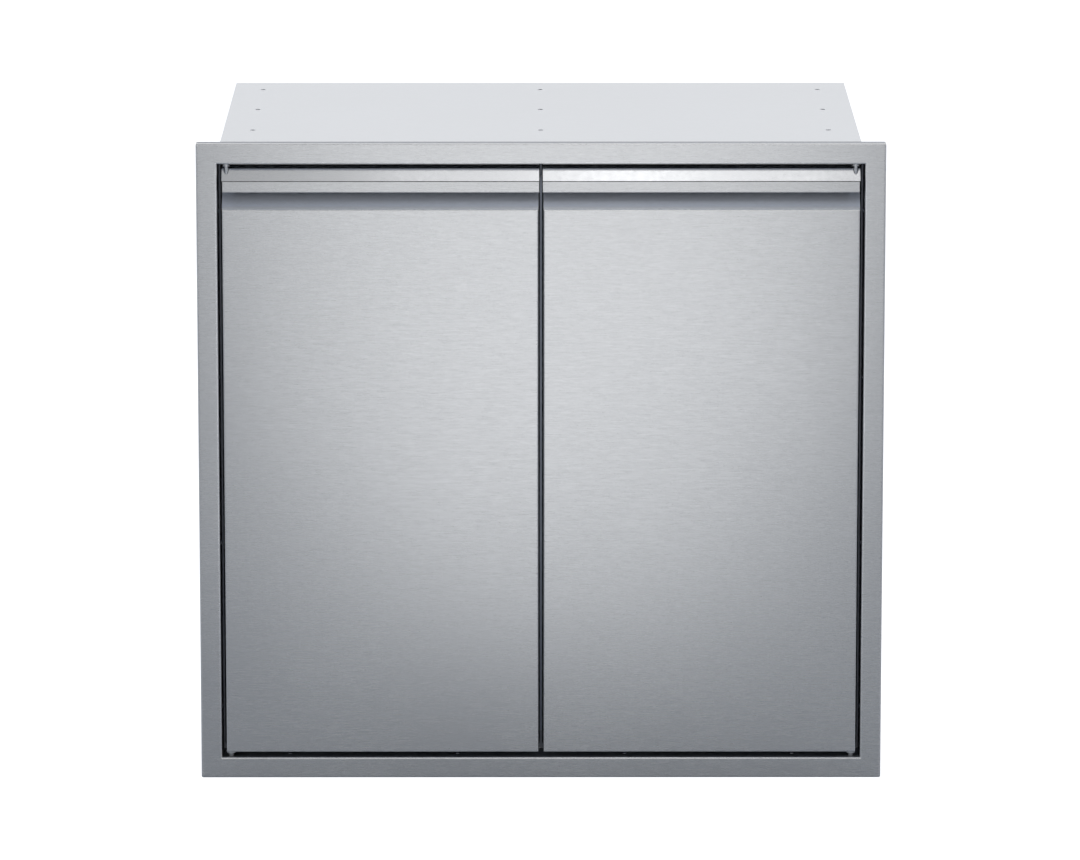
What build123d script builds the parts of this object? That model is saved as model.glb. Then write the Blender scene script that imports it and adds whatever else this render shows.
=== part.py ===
from build123d import *
import os

# Built-in outdoor cabinet: a face frame, a sheet box behind it and two doors on pivot pins.
# X runs to the right, Y from the front to the back and Z upwards, in millimetres.
# While a piece is made, Y is zero at the frame's front face and Z is zero at its lower edge.

# Face frame
frame_width = 762.0
frame_height = 720.5
frame_bar = 23.5
frame_sheet = 1.5
frame_return = 12.0
frame_bend = 2.0
wall_lip = 9.0
stop_width = 20.0

# Box behind the frame
overall_depth = 584.0
box_sheet = 1.2
box_start = 14.0
box_lip = 12.0
box_lip_start = 48.0
hole_radius = 3.2
hole_side_margin = 33.7
hole_row_spacing = 152.5
hole_rear_margin = 53.0
hole_rows = 3

# Gaps round the doors
side_gap = 4.9
centre_gap = 5.4
top_gap = 5.8
bottom_gap = 6.1

# Doors
door_thickness = 38.0
door_sheet = 1.2
door_bend = 1.5
liner_rim = 10.0
stiffener_width = 60.0
stiffener_clearance = 6.0

# Finger pull along the top of each door
pull_height = 45.7
pocket_depth = 20.0
pocket_drop = 24.0
trim_sheet = 1.0
trim_drop = 12.9
trim_setback = 8.0
trim_joint = 0.45
lip_drop = 26.0
lip_hem = 8.0
lip_leg = 18.0
lip_end_inset = 0.8
pull_overhang = 0.7

# Pivots
axis_inboard = 5.0
axis_depth = 7.0
pin_radius = 2.25
running_clearance = 0.05
press_clearance = 0.02
bush_wall = 1.15
flange_radius = 4.65
bush_flange = 1.0
bush_drop = 1.5
bush_rim = 0.8
lower_flange = 2.0
door_float = 0.3
pin_reach = 10.0
bush_length = 11.0
pin_head_radius = 4.0
pin_head = 1.2
upper_engagement = 0.5
release_clearance = 0.5
tail_clearance = 0.4
collar_radius = 3.3
collar_drop = 13.2
collar_height = 1.8
chamber_clearance = 0.3
chamber_ceiling_gap = 0.2
block_drop = 25.0
block_floor = 1.2
block_front = 2.6
block_outer = 4.5
block_inner = 6.5
block_seat = 0.2
tab_radius = 0.8
tab_reach = 12.0
tab_slot_clearance = 0.3
pin_hole_clearance = 0.4
spring_wire = 0.6
spring_seat = 0.1
lower_block_width = 14.0
lower_block_depth = 14.0
lower_block_height = 10.0

# Centre post and door seals
post_half_width = 20.0
post_depth = 25.0
post_seam = 0.3
post_tab_root = 10.0
post_tab_reach = 8.0
post_rivet_x = 16.0
post_rivet_rise = 4.0
gasket_gap = 0.6
gasket_height = 6.4
gasket_width = 10.0
gasket_margin = 1.8
gasket_centre_margin = 1.3
gasket_round = 2.0

# Rivets and screws
rivet_radius = 1.6
rivet_head_radius = 3.0
rivet_head = 1.2
rivet_dome = 0.8
rivet_side_margin = 54.75
rivet_end_margin = 75.5
rivet_depth = 20.0
rivet_count = 4
rivet_sink_radius = 2.6
fastener_clearance = 0.05
screw_radius = 1.5
screw_head_radius = 2.8
screw_head = 1.0
screw_dome = 0.4
screw_grip = 7.0

# Magnetic catches
catch_drop = 110.0
catch_width = 14.0
catch_half_height = 16.0
catch_rear_inset = 2.0
catch_recess = 0.8
catch_gap = 0.3
magnet_inset = 2.0
magnet_half_height = 11.0
magnet_length = 10.0
catch_screw_rise = 12.0
catch_screw_inset = 6.0
strike_sheet = 1.2
strike_width = 16.0
strike_half_height = 26.0
strike_screw_rise = 21.0

# Slotted strips, shelves and clips
strip_width = 24.0
strip_depth = 10.0
strip_end_clearance = 8.0
strip_front_margin = 53.5
strip_rear_margin = 82.8
slot_width = 12.0
slot_height = 3.2
slot_pitch = 32.0
slot_margin = 20.0
post_slot_depth = 15.0
rear_strip_depth = 24.0
clip_width = 10.0
clip_plate = 2.0
clip_reach = 13.0
clip_leg = 10.0
clip_hook = 6.0
clip_play = 0.1
shelf_sheet = 1.2
shelf_lip = 20.0
shelf_start = 52.0
shelf_rear_clearance = 5.0
shelf_post_clearance = 2.0
shelf_strip_clearance = 1.0

# One overrun for all cuts
overrun = 5.0

# Places worked out from the sizes above
half_width = frame_width / 2
open_half = half_width - frame_bar
open_bottom = frame_bar
open_top = frame_height - frame_bar
box_in_half = open_half + frame_sheet
box_half = box_in_half + box_sheet
box_in_bottom = open_bottom - frame_sheet
box_in_top = open_top + frame_sheet
box_bottom = box_in_bottom - box_sheet
box_top = box_in_top + box_sheet
box_rear = overall_depth - box_sheet
door_inner = centre_gap / 2
door_outer = open_half - side_gap
door_bottom = open_bottom + bottom_gap
door_top = open_top - top_gap
door_rear = door_thickness - door_sheet
axis_x = door_outer - axis_inboard
bush_radius = pin_radius + running_clearance + bush_wall
pin_travel = upper_engagement + frame_sheet + bush_drop + bush_flange + release_clearance
pin_tail = block_drop - block_floor - pin_travel - tail_clearance
stop_depth = door_thickness + gasket_gap + gasket_height
stop_rear = stop_depth + frame_sheet
flange_top_edge = open_top - stop_width
flange_bottom_edge = open_bottom + stop_width
strip_front_depth = stop_rear + strip_front_margin
strip_rear_depth = box_rear - strip_rear_margin
quarter_turn = 90


def block(x0, x1, y0, y1, z0, z1):
    centre = Pos((x0 + x1) / 2, (y0 + y1) / 2, (z0 + z1) / 2)
    return centre * Box(x1 - x0, y1 - y0, z1 - z0)


def ring(x0, x1, z0, z1, wall, y0, y1):
    outer = block(x0, x1, y0, y1, z0, z1)
    inner = block(x0 + wall, x1 - wall, y0 - overrun, y1 + overrun, z0 + wall, z1 - wall)
    return outer - inner


def upright(x, y, z0, z1, radius):
    return Pos(x, y, (z0 + z1) / 2) * Cylinder(radius, z1 - z0)


def crosswise(x0, x1, y, z, radius):
    return Pos((x0 + x1) / 2, y, z) * Rot(0, quarter_turn, 0) * Cylinder(radius, x1 - x0)


def run_across(outline, x0, x1):
    face = Plane.YZ.offset(x0) * Polygon(*outline)
    return extrude(face, amount=x1 - x0, dir=(1, 0, 0))


def offset_path(path, wall):
    points = [Vector(*point) for point in path]
    runs = [(end - start).normalized() for start, end in zip(points, points[1:])]
    normals = [Vector(-run.Y, run.X) for run in runs]
    moved = []
    for point, before, after in zip(points, normals[:1] + normals, normals + normals[-1:]):
        moved.append(point + (before + after) * (wall / (1 + before.dot(after))))
    return [(point.X, point.Y) for point in moved]


def fastener(grip, radius, head_radius, head_height, dome, tail_radius, tail):
    head = upright(0, 0, -head_height, 0, head_radius)
    head = fillet(head.edges().sort_by(Axis.Z)[0], dome)
    body = head + upright(0, 0, 0, grip, radius)
    return body + upright(0, 0, grip, grip + tail, tail_radius)


def rivet(grip):
    return fastener(grip, rivet_radius, rivet_head_radius, rivet_head, rivet_dome,
                    rivet_head_radius, rivet_head)


def sunk_tail(grip, sheet, radius, sink_radius):
    return Pos(0, 0, grip - sheet / 2) * Cone(radius, sink_radius, sheet)


def sunk_rivet(grip, sheet):
    plain = fastener(grip - sheet, rivet_radius, rivet_head_radius, rivet_head, rivet_dome,
                     rivet_radius, sheet)
    return plain + sunk_tail(grip, sheet, rivet_radius, rivet_sink_radius)


def sunk_drill(grip, sheet):
    tail = sunk_tail(grip, sheet, rivet_radius + fastener_clearance, rivet_sink_radius + fastener_clearance)
    return drill(rivet_radius, grip) + tail


def screw(grip):
    return fastener(grip, screw_radius, screw_head_radius, screw_head, screw_dome, screw_radius, screw_grip)


def drill(radius, depth):
    return upright(0, 0, -overrun, depth, radius + fastener_clearance)


# Face frame and the box that it carries

def rivet_row(start, end):
    return [start + (end - start) * number / (rivet_count - 1) for number in range(rivet_count)]


side_rivet_row = rivet_row(open_bottom + rivet_side_margin, open_top - rivet_side_margin)
end_rivet_row = rivet_row(-open_half + rivet_end_margin, open_half - rivet_end_margin)


def frame_rivet_places():
    places = []
    for z in side_rivet_row:
        for side in (-1, 1):
            places.append(Plane((side * open_half, rivet_depth, z), z_dir=(side, 0, 0)))
    for x in end_rivet_row:
        places.append(Plane((x, rivet_depth, open_top), z_dir=(0, 0, 1)))
        places.append(Plane((x, rivet_depth, open_bottom), z_dir=(0, 0, -1)))
    return places


def drill_frame_rivets(piece):
    for place in frame_rivet_places():
        piece -= place * sunk_drill(frame_sheet + box_sheet, box_sheet)
    return piece


def post_rivet_places():
    places = []
    for x in (-post_rivet_x, post_rivet_x):
        places.append(Plane((x, stop_depth, flange_top_edge + post_rivet_rise), z_dir=(0, 1, 0)))
        places.append(Plane((x, stop_depth, flange_bottom_edge - post_rivet_rise), z_dir=(0, 1, 0)))
    return places


def face_frame():
    frame = block(-half_width, half_width, 0, frame_return, 0, frame_height)
    frame -= block(-open_half, open_half, -overrun, frame_return + overrun, open_bottom, open_top)
    front_edges = frame.faces().sort_by(Axis.Y)[0].edges()
    corner_edges = frame.edges().filter_by(Axis.Y).filter_by(lambda edge: abs(edge.center().X) > open_half)
    frame = fillet(front_edges + corner_edges, frame_bend)
    hollow = block(-half_width + frame_sheet, half_width - frame_sheet,
                   frame_sheet, frame_return - frame_sheet, frame_sheet, frame_height - frame_sheet)
    tube = block(-box_in_half, box_in_half, 0, stop_rear, box_in_bottom, box_in_top)
    rear_gap = ring(-half_width + wall_lip, half_width - wall_lip, wall_lip, frame_height - wall_lip,
                    frame_bar - wall_lip - frame_sheet, frame_return - frame_sheet, frame_return + overrun)
    frame -= hollow - tube
    frame -= rear_gap - tube
    returns = ring(-box_in_half, box_in_half, box_in_bottom, box_in_top, frame_sheet,
                   frame_return, stop_rear)
    stop = ring(-box_in_half, box_in_half, box_in_bottom, box_in_top, frame_sheet + stop_width,
                stop_depth, stop_rear)
    frame = frame + returns + stop
    frame = drill_frame_rivets(frame)
    for place in post_rivet_places():
        frame -= place * drill(rivet_radius, frame_sheet + overrun)
    for side in (-1, 1):
        frame -= upright(side * axis_x, axis_depth, open_top - overrun, box_in_top + overrun,
                         bush_radius + press_clearance)
        frame -= upright(side * axis_x, axis_depth, box_in_bottom - overrun, open_bottom + overrun,
                         pin_radius + press_clearance)
    return frame


def top_panel():
    panel = block(-box_half, box_half, box_start, box_rear, box_in_top, box_top)
    for column in (-1, 0, 1):
        for row in range(hole_rows):
            y = overall_depth - hole_rear_margin - row * hole_row_spacing
            x = column * (box_half - hole_side_margin)
            panel -= upright(x, y, box_in_top - overrun, box_top + overrun, hole_radius)
    return drill_frame_rivets(panel)


def bottom_panel():
    panel = block(-box_half, box_half, box_start, box_rear, box_bottom, box_in_bottom)
    return drill_frame_rivets(panel)


def back_rivet_places():
    x = box_in_half - box_lip / 2
    y = box_rear - box_sheet
    return [Plane((side * x, y, z), z_dir=(0, 1, 0)) for side in (-1, 1) for z in side_rivet_row]


def drill_back_rivets(piece):
    for place in back_rivet_places():
        piece -= place * sunk_drill(box_sheet + box_sheet, box_sheet)
    return piece


def side_panel():
    lip_in = box_in_half - box_lip
    panel = block(box_in_half, box_half, box_start, box_rear, box_in_bottom, box_in_top)
    panel += block(lip_in, box_half, box_lip_start, box_rear, box_in_top - box_sheet, box_in_top)
    panel += block(lip_in, box_half, box_lip_start, box_rear, box_in_bottom, box_in_bottom + box_sheet)
    panel += block(lip_in, box_half, box_rear - box_sheet, box_rear, box_in_bottom, box_in_top)
    return drill_back_rivets(drill_frame_rivets(panel))


def back_panel():
    panel = block(-box_half, box_half, box_rear, overall_depth, box_bottom, box_top)
    return drill_back_rivets(panel)


# Centre post and door seals

def slot_cut(x0, x1, y, z):
    return block(x0, x1, y - slot_width / 2, y + slot_width / 2, z - slot_height / 2, z + slot_height / 2)


strip_bottom = box_in_bottom + box_sheet + strip_end_clearance
strip_top = box_in_top - box_sheet - strip_end_clearance
slot_count = int((strip_top - strip_bottom - 2 * slot_margin) / slot_pitch) + 1
shelf_slot = (slot_count - 1) // 2


def slot_z(number):
    return strip_bottom + slot_margin + number * slot_pitch


def post():
    bottom = flange_bottom_edge + post_seam
    top = flange_top_edge - post_seam
    web = block(-post_half_width, post_half_width, stop_depth, stop_rear, bottom, top)
    tab_rear = stop_rear + frame_sheet
    piece = web + block(-post_half_width, post_half_width, stop_rear, tab_rear,
                        top - post_tab_root, flange_top_edge + post_tab_reach)
    piece += block(-post_half_width, post_half_width, stop_rear, tab_rear,
                   flange_bottom_edge - post_tab_reach, bottom + post_tab_root)
    for side in (-1, 1):
        inner, outer = sorted((side * (post_half_width - frame_sheet), side * post_half_width))
        piece += block(inner, outer, stop_depth, stop_depth + post_depth, bottom, top)
    for number in range(slot_count):
        if bottom + slot_margin < slot_z(number) < top - slot_margin:
            piece -= slot_cut(-post_half_width - overrun, post_half_width + overrun,
                              stop_depth + post_slot_depth, slot_z(number))
    for place in post_rivet_places():
        piece -= place * drill(rivet_radius, frame_sheet + frame_sheet + overrun)
    return piece - catch_screw_holes() - mirror(catch_screw_holes(), about=Plane.YZ)


def gasket():
    seal = ring(gasket_centre_margin, open_half - gasket_margin, open_bottom + gasket_margin,
                open_top - gasket_margin, gasket_width, door_thickness + gasket_gap, stop_depth)
    return fillet(seal.faces().sort_by(Axis.Y)[0].edges(), gasket_round)


# Magnetic catch on the right of the post

catch_z = open_top - catch_drop
magnet_face = door_thickness + strike_sheet + catch_gap
catch_rear = stop_depth + post_depth - catch_rear_inset


def catch_screw_places():
    x = post_half_width + catch_width
    y = catch_rear - catch_screw_inset
    rises = (-catch_screw_rise, catch_screw_rise)
    return [Plane((x, y, catch_z + rise), z_dir=(-1, 0, 0)) for rise in rises]


def catch_screw_holes():
    holes = [place * drill(screw_radius, catch_width + screw_grip) for place in catch_screw_places()]
    return holes[0] + holes[1]


def catch_screws():
    return [place * screw(catch_width) for place in catch_screw_places()]


def magnet():
    return block(post_half_width + magnet_inset, post_half_width + catch_width - magnet_inset,
                 magnet_face, magnet_face + magnet_length,
                 catch_z - magnet_half_height, catch_z + magnet_half_height)


def catch_housing():
    housing = block(post_half_width, post_half_width + catch_width, magnet_face + catch_recess, catch_rear,
                    catch_z - catch_half_height, catch_z + catch_half_height)
    return housing - magnet() - catch_screw_holes()


def strike_screw_places():
    x = post_half_width + catch_width / 2
    y = door_thickness + strike_sheet
    rises = (-strike_screw_rise, strike_screw_rise)
    return [Plane((x, y, catch_z + rise), z_dir=(0, -1, 0)) for rise in rises]


def strike_plate():
    x = post_half_width + catch_width / 2
    plate = block(x - strike_width / 2, x + strike_width / 2, door_thickness, door_thickness + strike_sheet,
                  catch_z - strike_half_height, catch_z + strike_half_height)
    for place in strike_screw_places():
        plate -= place * drill(screw_radius, strike_sheet + overrun)
    return plate


# Right door

def skin_path():
    return [(door_rear, door_top), (pocket_depth, door_top), (pocket_depth, door_top - pocket_drop),
            (0, door_top - pull_height), (0, door_bottom), (door_rear, door_bottom)]


def block_screw_place():
    y = pocket_depth + door_sheet
    return Plane((axis_x - pin_radius, y, door_top - trim_drop / 2 - door_sheet), z_dir=(0, -1, 0))


def door_skin():
    skin = run_across(skin_path(), door_inner, door_outer)
    skin = fillet(skin.faces().sort_by(Axis.Y)[0].edges(), door_bend)
    inside = offset_path(skin_path(), door_sheet)
    inside[0] = (door_rear + overrun, inside[0][1])
    inside[-1] = (door_rear + overrun, inside[-1][1])
    skin -= run_across(inside, door_inner + door_sheet, door_outer - door_sheet)
    skin -= upright(axis_x, axis_depth, door_bottom - overrun, door_bottom + overrun,
                    bush_radius + press_clearance)
    return skin - block_screw_place() * drill(screw_radius, door_sheet + overrun)


def door_liner():
    plate = block(door_inner, door_outer, door_rear, door_thickness, door_bottom, door_top)
    plate += ring(door_inner + door_sheet, door_outer - door_sheet, door_bottom + door_sheet,
                  door_top - door_sheet, door_sheet, door_rear - liner_rim, door_rear)
    for place in strike_screw_places():
        plate -= place * drill(screw_radius, strike_sheet + door_sheet + overrun)
    return plate


def door_stiffener():
    middle = (door_inner + door_outer) / 2
    x0 = middle - stiffener_width / 2
    x1 = middle + stiffener_width / 2
    bottom = door_bottom + door_sheet + stiffener_clearance
    top = door_top - pull_height - stiffener_clearance
    channel = block(x0, x1, door_sheet, door_rear, bottom, top)
    return channel - block(x0 + door_sheet, x1 - door_sheet, door_sheet + door_sheet, door_rear + overrun,
                           bottom - overrun, top + overrun)


# Finger pull: the slanted face leans back from its lower edge to the door's top

slant_stretch = (trim_drop ** 2 + trim_setback ** 2) ** 0.5 / trim_drop


def slant_y(drop, inset):
    return trim_setback * (1 - drop / trim_drop) + inset * slant_stretch


def slant_drop(y, inset):
    return trim_drop * (1 - (y - inset * slant_stretch) / trim_setback)


def below_top(points):
    return [(y, door_top - drop) for y, drop in points]


def pin_clearance_hole():
    return upright(axis_x, axis_depth, door_top - trim_drop - overrun, door_top + overrun,
                   pin_radius + pin_hole_clearance)


def trim_strip():
    outline = below_top([
        (pocket_depth, 0),
        (trim_setback, 0),
        (0, trim_drop),
        (slant_y(trim_drop, trim_sheet), trim_drop),
        (slant_y(trim_sheet, trim_sheet), trim_sheet),
        (pocket_depth, trim_sheet),
    ])
    strip = run_across(outline, door_inner - pull_overhang, door_outer)
    return strip - pin_clearance_hole()


def pull_lip():
    top = trim_drop + trim_joint
    inset = trim_sheet + door_sheet
    hem = door_sheet + door_sheet
    outline = below_top([
        (pocket_depth, trim_sheet),
        (slant_y(trim_sheet, trim_sheet), trim_sheet),
        (slant_y(top, trim_sheet), top),
        (0, top),
        (0, lip_drop),
        (hem, lip_drop),
        (hem, lip_drop - lip_hem),
        (door_sheet, lip_drop - lip_hem),
        (door_sheet, slant_drop(door_sheet, inset)),
        (slant_y(inset, inset), inset),
        (pocket_depth - door_sheet, inset),
        (pocket_depth - door_sheet, lip_leg),
        (pocket_depth, lip_leg),
    ])
    inner = door_inner - pull_overhang
    outer = door_outer - lip_end_inset
    lip = run_across(outline, inner, outer)
    front = lip.faces().sort_by(Axis.Y)[0]
    lip = fillet(front.edges().sort_by(Axis.Z)[0], door_sheet)
    cap = below_top([
        (door_sheet, slant_drop(door_sheet, inset)),
        (slant_y(inset, inset), inset),
        (pocket_depth - door_sheet, inset),
        (pocket_depth - door_sheet, lip_leg),
        (door_sheet, lip_leg),
    ])
    lip += run_across(cap, inner, inner + door_sheet)
    lip -= pin_clearance_hole()
    return lip - block_screw_place() * drill(screw_radius, door_sheet + door_sheet + overrun)


# Sprung upper pivot of the right door

chamber_top = door_top - collar_drop + chamber_ceiling_gap
chamber_floor = door_top - block_drop + block_floor
chamber_radius = collar_radius + chamber_clearance
collar_z = door_top - collar_drop - collar_height / 2


def upper_pivot_block():
    inset = trim_sheet + door_sheet + block_seat
    outline = below_top([
        (block_front, block_drop),
        (block_front, slant_drop(block_front, inset)),
        (slant_y(inset, inset), inset),
        (pocket_depth - door_sheet, inset),
        (pocket_depth - door_sheet, block_drop),
    ])
    body = run_across(outline, axis_x - block_inner, axis_x + block_outer)
    body -= upright(axis_x, axis_depth, chamber_floor, chamber_top, chamber_radius)
    body -= upright(axis_x, axis_depth, chamber_top - overrun, door_top + overrun,
                    pin_radius + running_clearance)
    slot = tab_radius + tab_slot_clearance
    body -= block(axis_x - block_inner - overrun, axis_x, axis_depth - slot, axis_depth + slot,
                  collar_z - pin_travel - slot, collar_z + slot)
    return body - block_screw_place() * drill(screw_radius, door_sheet + door_sheet + screw_grip)


def upper_pin():
    pin_top = box_in_top + upper_engagement
    pin = upright(axis_x, axis_depth, door_top - pin_tail, pin_top, pin_radius)
    pin = chamfer(pin.edges().sort_by(Axis.Z)[-1], upper_engagement)
    pin += upright(axis_x, axis_depth, collar_z - collar_height / 2, collar_z + collar_height / 2,
                   collar_radius)
    return pin + crosswise(axis_x - tab_reach, axis_x, axis_depth, collar_z, tab_radius)


def pin_spring():
    inner = pin_radius + running_clearance + running_clearance
    top = collar_z - collar_height / 2 - spring_seat
    sleeve = upright(axis_x, axis_depth, chamber_floor, top, inner + spring_wire)
    return sleeve - upright(axis_x, axis_depth, chamber_floor - overrun, top + overrun, inner)


def upper_bushing():
    flange_bottom = open_top - bush_drop - bush_flange
    bush = upright(axis_x, axis_depth, flange_bottom, flange_bottom + bush_flange, flange_radius)
    bush += upright(axis_x, axis_depth, flange_bottom, box_in_top + bush_rim, bush_radius)
    bush += upright(axis_x, axis_depth, box_in_top, box_in_top + bush_rim, bush_radius + bush_rim)
    return bush - upright(axis_x, axis_depth, flange_bottom - overrun, box_in_top + overrun,
                          pin_radius + running_clearance)


# Lower pivot of the right door

def lower_pin():
    collar_top = door_bottom - lower_flange - door_float
    pin = upright(axis_x, axis_depth, box_in_bottom - pin_head, box_in_bottom, pin_head_radius)
    pin += upright(axis_x, axis_depth, box_in_bottom - pin_head, door_bottom + pin_reach, pin_radius)
    return pin + upright(axis_x, axis_depth, open_bottom, collar_top, flange_radius)


def lower_bushing():
    bush = upright(axis_x, axis_depth, door_bottom - lower_flange, door_bottom, flange_radius)
    bush += upright(axis_x, axis_depth, door_bottom - lower_flange, door_bottom + bush_length, bush_radius)
    return bush - upright(axis_x, axis_depth, door_bottom - overrun, door_bottom + bush_length + overrun,
                          pin_radius + running_clearance)


def lower_pivot_block():
    base = door_bottom + door_sheet
    body = block(door_outer - door_sheet - lower_block_width, door_outer - door_sheet,
                 door_sheet, door_sheet + lower_block_depth, base, base + lower_block_height)
    return body - upright(axis_x, axis_depth, base - overrun, base + lower_block_height + overrun,
                          bush_radius + press_clearance)


def door_screws():
    screws = [place * screw(strike_sheet + door_sheet) for place in strike_screw_places()]
    screws.append(block_screw_place() * screw(door_sheet + door_sheet))
    return screws


# Slotted strips, shelves and clips on the right

strip_face = box_in_half - strip_depth
rear_strip_face = box_rear - rear_strip_depth
shelf_z = slot_z(shelf_slot) + clip_plate / 2
rear_slot_y = rear_strip_face + rear_strip_depth / 2


def side_strip(centre_y):
    y0 = centre_y - strip_width / 2
    y1 = centre_y + strip_width / 2
    strip = block(strip_face, box_in_half, y0, y1, strip_bottom, strip_top)
    strip -= block(strip_face + box_sheet, box_in_half + overrun, y0 + box_sheet, y1 - box_sheet,
                   strip_bottom - overrun, strip_top + overrun)
    for number in range(slot_count):
        strip -= slot_cut(strip_face - overrun, strip_face + overrun, centre_y, slot_z(number))
    return strip


def rear_centre_strip():
    strip = block(-post_half_width, post_half_width, rear_strip_face, box_rear, strip_bottom, strip_top)
    strip -= block(-post_half_width + box_sheet, post_half_width - box_sheet, rear_strip_face + box_sheet,
                   box_rear + overrun, strip_bottom - overrun, strip_top + overrun)
    for number in range(slot_count):
        strip -= slot_cut(-post_half_width - overrun, post_half_width + overrun, rear_slot_y, slot_z(number))
    return strip


def shelf_clip(face_x, towards, wall, y):
    def span(start, end, z0, z1):
        x0, x1 = sorted((face_x + towards * start, face_x + towards * end))
        return block(x0, x1, y - clip_width / 2, y + clip_width / 2, z0, z1)
    hook_far = -wall - clip_play - clip_plate
    clip = span(hook_far, clip_reach, shelf_z - clip_plate, shelf_z)
    clip += span(hook_far, -wall - clip_play, shelf_z - clip_hook, shelf_z)
    return clip + span(clip_play, clip_play + clip_plate, shelf_z - clip_leg, shelf_z)


def shelf_clips():
    return [
        shelf_clip(strip_face, -1, box_sheet, strip_front_depth),
        shelf_clip(strip_face, -1, box_sheet, strip_rear_depth),
        shelf_clip(post_half_width, 1, frame_sheet, stop_depth + post_slot_depth),
        shelf_clip(post_half_width, 1, box_sheet, rear_slot_y),
    ]


def shelf():
    x0 = post_half_width + shelf_post_clearance
    x1 = strip_face - shelf_strip_clearance
    y1 = box_rear - box_sheet - shelf_rear_clearance
    pan = block(x0, x1, shelf_start, y1, shelf_z, shelf_z + shelf_lip)
    pan -= block(x0 + shelf_sheet, x1 - shelf_sheet, shelf_start + shelf_sheet, y1 - shelf_sheet,
                 shelf_z - overrun, shelf_z + shelf_lip - shelf_sheet)
    return pan


# Files

def save(name, pieces):
    solids = [solid for piece in pieces for solid in piece.solids()]
    placed = [Pos(0, -overall_depth / 2, 0) * solid for solid in solids]
    export_step(placed[0] if len(placed) == 1 else Compound(children=placed), f"parts/{name}.step")


def mirrored(pieces):
    return [mirror(piece, about=Plane.YZ) for piece in pieces]


os.makedirs("parts", exist_ok=True)

save("face_frame", [face_frame()])
save("box_top", [top_panel()])
save("box_bottom", [bottom_panel()])
save("box_back", [back_panel()])
save("centre_mullion", [post()])
save("rear_centre_pilaster", [rear_centre_strip()])
frame_rivet = sunk_rivet(frame_sheet + box_sheet, box_sheet)
back_rivet = sunk_rivet(box_sheet + box_sheet, box_sheet)
post_rivet = rivet(frame_sheet + frame_sheet)
save("frame_rivets", [place * frame_rivet for place in frame_rivet_places()])
save("mullion_rivets", [place * post_rivet for place in post_rivet_places()])
save("back_rivets", [place * back_rivet for place in back_rivet_places()])

right_pieces = {
    "box_side": [side_panel()],
    "gasket": [gasket()],
    "front_pilaster": [side_strip(strip_front_depth)],
    "rear_pilaster": [side_strip(strip_rear_depth)],
    "shelf": [shelf()],
    "shelf_clips": shelf_clips(),
    "catch_housing": [catch_housing()],
    "catch_magnet": [magnet()],
    "catch_screws": catch_screws(),
    "lower_pin": [lower_pin()],
    "upper_bushing": [upper_bushing()],
    "door_skin": [door_skin()],
    "door_liner": [door_liner()],
    "door_stiffener": [door_stiffener()],
    "pull_lip": [pull_lip()],
    "trim_strip": [trim_strip()],
    "upper_pivot_block": [upper_pivot_block()],
    "upper_pin": [upper_pin()],
    "pin_spring": [pin_spring()],
    "lower_pivot_block": [lower_pivot_block()],
    "lower_bushing": [lower_bushing()],
    "strike_plate": [strike_plate()],
    "door_screws": door_screws(),
}
for piece_name, pieces in right_pieces.items():
    save("right_" + piece_name, pieces)
    save("left_" + piece_name, mirrored(pieces))
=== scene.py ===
# %% [markdown]
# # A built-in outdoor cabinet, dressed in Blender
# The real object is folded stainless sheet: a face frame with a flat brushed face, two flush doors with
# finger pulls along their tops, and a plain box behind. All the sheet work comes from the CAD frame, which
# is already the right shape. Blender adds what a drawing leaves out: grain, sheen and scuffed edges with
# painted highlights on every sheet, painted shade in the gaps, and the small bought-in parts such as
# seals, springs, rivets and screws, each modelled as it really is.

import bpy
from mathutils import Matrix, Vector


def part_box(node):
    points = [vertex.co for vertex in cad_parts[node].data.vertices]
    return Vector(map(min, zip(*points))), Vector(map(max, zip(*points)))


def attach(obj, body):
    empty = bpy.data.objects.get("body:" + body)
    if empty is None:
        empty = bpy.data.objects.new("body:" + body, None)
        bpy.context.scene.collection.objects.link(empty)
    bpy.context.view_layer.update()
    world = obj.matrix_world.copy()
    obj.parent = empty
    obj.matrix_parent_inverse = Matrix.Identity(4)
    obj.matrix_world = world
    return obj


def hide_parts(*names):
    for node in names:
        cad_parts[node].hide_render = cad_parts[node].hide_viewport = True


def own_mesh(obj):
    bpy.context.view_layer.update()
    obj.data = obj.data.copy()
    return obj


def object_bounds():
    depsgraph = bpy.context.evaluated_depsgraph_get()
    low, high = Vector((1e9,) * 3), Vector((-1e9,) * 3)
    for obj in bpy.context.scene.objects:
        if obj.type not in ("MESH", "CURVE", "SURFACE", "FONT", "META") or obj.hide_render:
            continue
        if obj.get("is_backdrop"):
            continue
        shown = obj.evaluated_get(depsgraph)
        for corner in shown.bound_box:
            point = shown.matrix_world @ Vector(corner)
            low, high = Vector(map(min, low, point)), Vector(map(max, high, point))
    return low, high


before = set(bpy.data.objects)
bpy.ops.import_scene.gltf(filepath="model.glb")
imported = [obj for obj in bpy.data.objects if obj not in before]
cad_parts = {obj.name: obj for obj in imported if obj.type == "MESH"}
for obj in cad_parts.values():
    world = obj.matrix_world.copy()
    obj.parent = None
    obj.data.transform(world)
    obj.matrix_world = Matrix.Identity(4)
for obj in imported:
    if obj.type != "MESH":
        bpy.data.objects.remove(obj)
cad_low, cad_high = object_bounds()
print("CAD box:", tuple(cad_low), tuple(cad_high))

# %% Modules, the unit and the two sides
import math

import bmesh
import bpy
from mathutils import Matrix, Vector

MM = 0.001
sides = {"left": -1, "right": 1}
scene = bpy.context.scene
print("one millimetre is", MM, "m, and the sides lie at X", sides)

# %% [markdown]
# ## Small helpers for materials
# A material is easier to read when one line makes a node and one line joins two of them. Each finish below
# is a short list of such lines. The exporter keeps only what sits on the shader's own sockets, so a value
# that is the same everywhere is set there, and a link is used only for what varies over the surface.

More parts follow.
